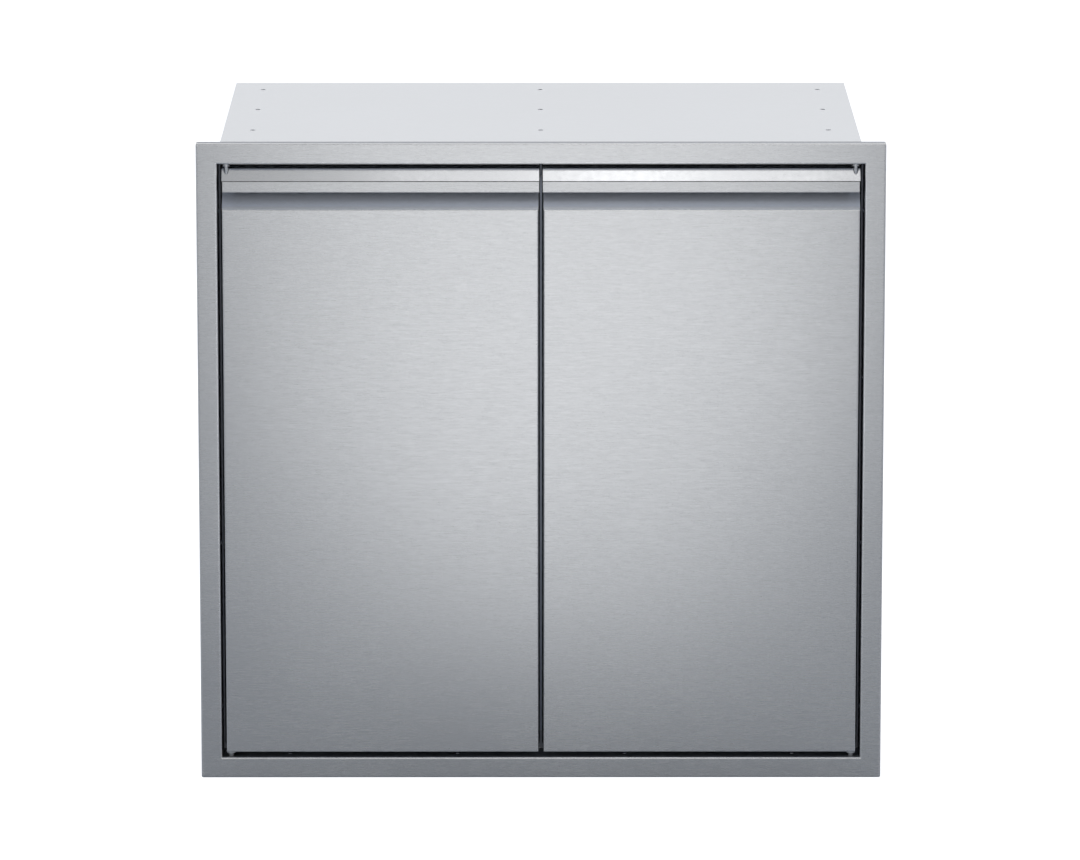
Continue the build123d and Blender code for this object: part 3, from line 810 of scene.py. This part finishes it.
def into_opening(low, high):
    """Frame rivets point their heads to the middle of the opening."""
    size = high - low
    centre = (low + high) / 2
    if size.x < size.z:
        return Vector((math.copysign(1, opening_middle.x - centre.x), 0, 0))
    return Vector((0, 0, math.copysign(1, opening_middle.z - centre.z)))


rivet_groups = (
    ("frame_rivets", into_opening, sunk_tail_radius),
    ("mullion_rivets", FRONT, open_tail_radius),
    ("back_rivets", FRONT, sunk_tail_radius),
)
for node_name, heads, tail_radius in rivet_groups:
    low, high = islands(node_name)[0]
    grip = length_along(heads, low, high) - rivet_head - rivet_tail
    rivet = turned_rivet("rivet_model", rivet_head_radius, rivet_head, rivet_shank_radius, grip,
                         tail_radius, rivet_tail)
    spread_copies(rivet, node_name, rivet_head, heads, "cabinet", f"blind_{node_name}")
    forget(rivet)

# %% [markdown]
# ## Screws
# Pan-head screws with a cross recess hold the magnetic catches, their plates and the pivot blocks. The
# body is turned like the rivet, a tapered wedge cuts the recess twice, a quarter turn apart, and a
# three-sided wire wound round the core is the thread.

# %% The cross recess
screw_head = 1.0 * MM
recess_size = (2.9 * MM, 0.62 * MM, 1.4 * MM)
recess_taper = (0.35, 0.7, 1.0)


def recess_wedge():
    clean_start()
    bpy.ops.mesh.primitive_cube_add(size=1.0)
    piece = bpy.context.object
    piece.data.transform(Matrix.Translation((0, 0, -screw_head)) @ Matrix.Diagonal((*recess_size, 1)))
    for vertex in piece.data.vertices:
        vertex.select = vertex.co.z > -screw_head
    bpy.ops.object.mode_set(mode="EDIT")
    bpy.ops.mesh.select_mode(type="VERT")
    bpy.ops.transform.resize(value=recess_taper, center_override=ORIGIN)
    bpy.ops.object.mode_set(mode="OBJECT")
    return piece


def cut(piece, cutter):
    select_only(piece)
    taken = piece.modifiers.new("cut", "BOOLEAN")
    taken.operation = "DIFFERENCE"
    taken.solver = "EXACT"
    taken.object = cutter
    bpy.ops.object.modifier_apply(modifier=taken.name)


def cut_cross(piece):
    wedge = recess_wedge()
    for turn in (0, 90):
        cutter = place_copy(wedge, "wedge_turned", Matrix.Rotation(math.radians(turn), 4, "Z"))
        cut(piece, cutter)
        forget(cutter)
    forget(wedge)


print("the recess is", [round(size / MM, 2) for size in recess_size], "mm before its taper")

# %% One screw
screw_radius, screw_core, screw_tip = 1.5 * MM, 1.2 * MM, 0.5 * MM
core_step, tip_taper = 0.2 * MM, 0.7 * MM
screw_facets = 24
pan_head_mm = ((0.9, -1.0), (1.9, -0.93), (2.4, -0.75), (2.7, -0.45), (2.8, -0.15), (2.8, 0.0))
thread_length, thread_pitch, thread_ends = 7.0 * MM, 0.7 * MM, 1.4 * MM
thread_wire, thread_facets, thread_steps = 0.26 * MM, 3, 18
thread_start, thread_stands_off = 0.5 * MM, 0.04 * MM


def turned_screw(grip):
    end = grip + thread_length
    profile = [(radius * MM, height * MM) for radius, height in pan_head_mm]
    profile += [(screw_radius, 0.0), (screw_radius, grip), (screw_core, grip + core_step)]
    profile += [(screw_core, end - tip_taper), (screw_tip, end)]
    piece = turned("screw_model", profile, screw_facets)
    cut_cross(piece)
    turns = int((thread_length - thread_ends) / thread_pitch)
    thread = wound("thread", thread_wire, thread_facets, screw_core + thread_stands_off, turns,
                   thread_pitch, thread_steps)
    thread.data.transform(Matrix.Translation((0, 0, grip + thread_start)))
    clean_start()
    thread.select_set(True)
    piece.select_set(True)
    bpy.context.view_layer.objects.active = piece
    bpy.ops.object.join()
    smooth(piece, HARD_PART)
    return piece


print("thread", round(thread_length / MM, 1), "mm long with a pitch of", round(thread_pitch / MM, 1), "mm")

# %% Screws in their places
BACK = Vector((0, 1, 0))

for side, sign in sides.items():
    screw_groups = (
        (f"{side}_catch_screws", Vector((sign, 0, 0)), "cabinet"),
        (f"{side}_door_screws", BACK, f"{side}_door"),
    )
    for node_name, heads, body in screw_groups:
        low, high = islands(node_name)[0]
        screw = turned_screw(length_along(heads, low, high) - screw_head - thread_length)
        spread_copies(screw, node_name, screw_head, heads, body, f"cross_{node_name}")
        forget(screw)

# %% [markdown]
# ## Magnetic catches
# A moulded housing on the middle post holds a bar magnet. It starts as a block of its outer size, its
# edges are rounded as a mould leaves them, and the magnet's pocket and the two screw holes are cut out of
# it. The rounding comes before the cuts, so that the pocket keeps its crisp rim.

# %% Blocks and their rounded edges
mould_radius, mould_steps = 1.0 * MM, 3


def block_between(name, low, high):
    clean_start()
    bpy.ops.mesh.primitive_cube_add(size=1.0)
    piece = bpy.context.object
    piece.name = name
    size = high - low
    piece.data.transform(Matrix.Translation((low + high) / 2) @ Matrix.Diagonal((*size, 1)))
    return piece


def round_edges(piece):
    select_only(piece)
    made = piece.modifiers.new("rounded edges", "BEVEL")
    made.width = mould_radius
    made.segments = mould_steps
    made.limit_method = "ANGLE"
    made.angle_limit = math.radians(SOFT_PART)
    bpy.ops.object.modifier_apply(modifier=made.name)
    smooth(piece, SOFT_PART)


print("moulded edges are rounded by", mould_radius, "m")

# %% Catch housings
magnet_slack = 0.1 * MM
screw_hole_radius, screw_hole_reach, screw_hole_facets = 1.6 * MM, 20 * MM, 24


def catch_housing(side):
    low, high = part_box(f"{side}_catch_housing")
    piece = block_between(f"{side}_moulded_catch", low, high)
    round_edges(piece)
    magnet_low, magnet_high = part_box(f"{side}_catch_magnet")
    slack = Vector((magnet_slack, magnet_slack, magnet_slack))
    pocket = block_between("pocket", magnet_low - slack, magnet_high + slack)
    cut(piece, pocket)
    forget(pocket)
    for screw_low, screw_high in islands(f"{side}_catch_screws"):
        centre = (screw_low + screw_high) / 2
        ends = [(screw_hole_radius, -screw_hole_reach), (screw_hole_radius, screw_hole_reach)]
        hole = turned("hole", ends, screw_hole_facets)
        hole.data.transform(Matrix.Translation(centre) @ Matrix.Rotation(math.radians(90), 4, "Y"))
        cut(piece, hole)
        forget(hole)
    smooth(piece, HARD_PART)
    dress(piece, "catch_plastic", "cabinet", [f"{side}_catch_housing"])
    return piece


for side in sides:
    housing = catch_housing(side)
    print(housing.name, len(housing.data.polygons), "faces")

# %% [markdown]
# ## Lower pivot pins
# Each door stands on a fixed pin. The pale flange of the door's bush rests on it and shows as a crescent
# in the gap under the door. The pin is turned in one piece: a head under the frame's sheet, a low ring
# above it, a thinner neck, and the pin with a chamfer. Its outline is given in millimetres, as a turner
# would have it.

# %% Turned lower pins
pin_radius_mm = 2.25
pin_facets = 36
pin_head_mm = ((3.6, 0.0), (4.0, 0.4), (4.0, 1.2), (pin_radius_mm, 1.2))
ring_foot_mm = 2.7
ring_and_neck_mm = (
    (pin_radius_mm, 0.0), (4.1, 0.0), (4.3, 0.15), (4.3, 0.5), (4.1, 0.65), (3.4, 0.7), (3.1, 0.9),
    (3.1, 3.8), (2.9, 4.05), (pin_radius_mm, 4.05),
)
pin_tip_radius, pin_chamfer = 1.8 * MM, 0.5 * MM


def lower_pin(side):
    low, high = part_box(f"{side}_lower_pin")
    centre = (low + high) / 2
    top = high.z - low.z
    profile = [(radius * MM, height * MM) for radius, height in pin_head_mm]
    profile += [(radius * MM, ring_foot_mm * MM + height * MM) for radius, height in ring_and_neck_mm]
    profile += [(pin_radius_mm * MM, top - pin_chamfer), (pin_tip_radius, top)]
    piece = turned(f"{side}_turned_lower_pin", profile, pin_facets)
    piece.data.transform(Matrix.Translation((centre.x, centre.y, low.z)))
    smooth(piece, HARD_PART)
    dress(piece, "zinc_block", "cabinet", [f"{side}_lower_pin"])
    return piece


for side in sides:
    pin = lower_pin(side)
    print(pin.name, len(pin.data.polygons), "faces")

# %% [markdown]
# ## A white ground
# The picture has a pure white ground, so the camera sees the floor and the world as white. More light on
# the object could do that too, but it would bleach the steel. So the white comes from a glow that only
# some rays see: Light Path tells camera rays, mirrored rays and diffuse rays apart. Mirror-like surfaces
# see the white as strongly as a mask says, and diffuse light on the object isn't changed by it.

# %% White for some rays
def white_for_rays(tree, mirrored):
    """White to the camera, and to mirrored rays as strongly as the mask says."""
    paths = add(tree, "ShaderNodeLightPath")
    through = paths.outputs["Is Transmission Ray"]
    mirror_rays = maths(tree, "MAXIMUM", paths.outputs["Is Glossy Ray"], through)
    reflected = maths(tree, "MULTIPLY", mirror_rays, mirrored)
    seen = maths(tree, "MAXIMUM", paths.outputs["Is Camera Ray"], reflected)
    return seen, mirror_rays, paths


print("white goes to camera rays, and by a mask to glossy and transmission rays")

# %% [markdown]
# ## Floor
# Bare metal is nothing but reflections, and the cabinet's doors mirror the floor in front of them. In the
# photograph they fade from white at the top to grey at the bottom, which says that the floor is dim close
# to the doors and white some way off. So mirrored rays see the floor as white in a long soft pool in
# front, and a little less so behind the face frame, where the box's back and sides mirror it. Elsewhere
# they see only the floor's own pale colour under the lamps.

# %% Floor
FLOOR_SIZE = 20.0
FLOOR_COLOUR = (0.57, 0.60, 0.645, 1.0)
FLOOR_GAP = 0.2 * MM
POOL_CENTRE = (0.02, -4.2)
POOL_REACH = (0.66, 3.4)
POOL_RIM = (0.75, 1.0)
BEHIND_FROM, BEHIND_FULL, BEHIND_STRENGTH = -0.25, 0.0, 0.6

clean_start()
bpy.ops.mesh.primitive_plane_add(size=FLOOR_SIZE, location=(0, 0, cad_low.z - FLOOR_GAP))
floor = bpy.context.object
floor.name = "studio_floor"
bpy.ops.object.transform_apply(location=True, rotation=True, scale=True)
floor_material, tree = new_material("pale_floor")
shader = add(tree, "ShaderNodeBsdfPrincipled")
shader.inputs["Base Color"].default_value = FLOOR_COLOUR
shader.inputs["Roughness"].default_value = 0.9
spot = add(tree, "ShaderNodeTexCoord")
from_pool = add(tree, "ShaderNodeMapping", vector_type="TEXTURE")
from_pool.inputs["Location"].default_value = (*POOL_CENTRE, 0.0)
from_pool.inputs["Scale"].default_value = (*POOL_REACH, 1.0)
feed(tree, from_pool.inputs["Vector"], spot.outputs["Object"])
away = add(tree, "ShaderNodeVectorMath", operation="LENGTH")
feed(tree, away.inputs[0], from_pool.outputs["Vector"])
pool = span(tree, away.outputs["Value"], *POOL_RIM, 1.0, 0.0)
along = add(tree, "ShaderNodeSeparateXYZ")
feed(tree, along.inputs["Vector"], spot.outputs["Object"])
behind = span(tree, along.outputs["Y"], BEHIND_FROM, BEHIND_FULL, 0.0, BEHIND_STRENGTH)
seen = white_for_rays(tree, maths(tree, "MAXIMUM", pool, behind))[0]
glow = add(tree, "ShaderNodeEmission")
feed(tree, glow.inputs["Strength"], seen)
both = add(tree, "ShaderNodeAddShader")
feed(tree, both.inputs[0], shader.outputs["BSDF"])
feed(tree, both.inputs[1], glow.outputs["Emission"])
output = add(tree, "ShaderNodeOutputMaterial")
feed(tree, output.inputs["Surface"], both.outputs["Shader"])
floor.data.materials.append(floor_material)
floor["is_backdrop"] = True
print("floor", FLOOR_SIZE, "m, pool of white", POOL_REACH, "m each way from", POOL_CENTRE)

# %% [markdown]
# ## World
# The world does three things. It is white to the camera. Mirrored rays see it white behind the cabinet
# and pale near the horizon in front, with a dim front above that and a brighter patch overhead, which the
# slanted strips and the bends of the sheet pick up. Diffuse rays see an even, slightly cool room, which
# stands for the studio's walls. Heights are given as the Z of the ray's direction: 0 is level, 1 is up.

# %% World
ROOM_LEVEL = 0.35
ROOM_COLOUR = (0.86, 0.93, 1.04, 1.0)
BACK_STARTS, BACK_FULL = -0.1, 0.3
HORIZON_STARTS, HORIZON_ENDS = 0.4, 0.65
HORIZON_STRENGTH = 0.74
DIM_STRENGTH = 0.09
PATCH_STARTS, PATCH_FULL, PATCH_STRENGTH = 0.84, 0.96, 0.5

world = bpy.data.worlds.new("studio_world")
scene.world = world
world.use_nodes = True
tree = world.node_tree
tree.nodes.clear()
around = add(tree, "ShaderNodeTexCoord")
direction = add(tree, "ShaderNodeSeparateXYZ")
feed(tree, direction.inputs["Vector"], around.outputs["Generated"])
back = span(tree, direction.outputs["Y"], BACK_STARTS, BACK_FULL, 0.0, 1.0)
horizon = span(tree, direction.outputs["Z"], HORIZON_STARTS, HORIZON_ENDS, HORIZON_STRENGTH, 0.0)
dim_front = span(tree, direction.outputs["Z"], HORIZON_STARTS, HORIZON_ENDS, 0.0, DIM_STRENGTH)
overhead_patch = span(tree, direction.outputs["Z"], PATCH_STARTS, PATCH_FULL, 0.0, PATCH_STRENGTH)
seen, mirror_rays, paths = white_for_rays(tree, maths(tree, "MAXIMUM", back, horizon))
white = add(tree, "ShaderNodeBackground")
white.inputs["Color"].default_value = (1.0, 1.0, 1.0, 1.0)
feed(tree, white.inputs["Strength"], seen)
room = add(tree, "ShaderNodeBackground")
room.inputs["Color"].default_value = ROOM_COLOUR
in_front = maths(tree, "MULTIPLY", mirror_rays, maths(tree, "SUBTRACT", 1.0, back))
ceiling = maths(tree, "MULTIPLY", in_front, maths(tree, "ADD", overhead_patch, dim_front))
walls = maths(tree, "MULTIPLY", paths.outputs["Is Diffuse Ray"], ROOM_LEVEL)
feed(tree, room.inputs["Strength"], maths(tree, "ADD", ceiling, walls))
both = add(tree, "ShaderNodeAddShader")
feed(tree, both.inputs[0], white.outputs["Background"])
feed(tree, both.inputs[1], room.outputs["Background"])
output = add(tree, "ShaderNodeOutputWorld")
feed(tree, output.inputs["Surface"], both.outputs["Shader"])
print("room level", ROOM_LEVEL, "and horizon", HORIZON_STRENGTH)

# %% [markdown]
# ## Lamps
# A row of soft lamps hangs above and in front of the cabinet. One wide lamp would light the slanted
# strips evenly, but in the photograph they go from grey at the far left to white from the middle on. So
# the row has four lamps of different power, all at one height and turned to the cabinet's top edge.

# %% Lamps
LAMP_DEPTH, LAMP_HEIGHT = -1.7, 2.5
LAMP_SIZE = (0.45, 0.9)
AIM_INWARDS, AIM_DEPTH, AIM_HEIGHT = 0.7, -0.29, 0.68


def soft_lamp(name, place, aim, size, power):
    data = bpy.data.lights.new(name, "AREA")
    data.shape = "RECTANGLE"
    data.size, data.size_y = size
    data.energy = power
    lamp = bpy.data.objects.new(name, data)
    lamp.location = place
    lamp.rotation_euler = (Vector(aim) - Vector(place)).to_track_quat("-Z", "Y").to_euler()
    lamp.visible_camera = False
    scene.collection.objects.link(lamp)


lamp_powers = {-0.35: 0.45, 0.0: 0.75, 0.25: 0.95, 0.60: 0.40}
for place_x, power in lamp_powers.items():
    aim = (place_x * AIM_INWARDS, AIM_DEPTH, AIM_HEIGHT)
    soft_lamp(f"overhead_{place_x}", (place_x, LAMP_DEPTH, LAMP_HEIGHT), aim, LAMP_SIZE, power)
print("lamps", len(lamp_powers), "with", round(sum(lamp_powers.values()), 2), "W in all")

# %% [markdown]
# ## Camera
# The photograph looks down on the cabinet by about eleven degrees, from far enough away that the box
# narrows only a little towards its back. A long lens gives that. The camera's place and angles were found
# by setting the corners of the frame and the rows of holes in the top panel against the photograph.

# %% Camera
LENS = 229.8
CAMERA_PLACE = (-0.0129, -7.8, 1.923)
LOOKS_DOWN, LOOKS_RIGHT = 11.48, 0.09

camera_data = bpy.data.cameras.new("camera")
camera_data.lens = LENS
camera_data.clip_end = 100.0
camera = bpy.data.objects.new("camera", camera_data)
camera.location = CAMERA_PLACE
camera.rotation_euler = (math.radians(90 - LOOKS_DOWN), 0.0, math.radians(-LOOKS_RIGHT))
scene.collection.objects.link(camera)
scene.camera = camera
print("camera", round(Vector(CAMERA_PLACE).length, 2), "m away, lens", LENS, "mm")

# %% [markdown]
# ## Colour and sizes
# Standard shows a colour about as it is written, where the other view transforms change its tones. Last,
# the box of what is visible is written beside the CAD box, so that the two can be compared after each
# render.

scene.view_settings.view_transform = "Standard"
bpy.context.view_layer.update()
low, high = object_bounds()
print("visual box:", tuple(low), tuple(high))
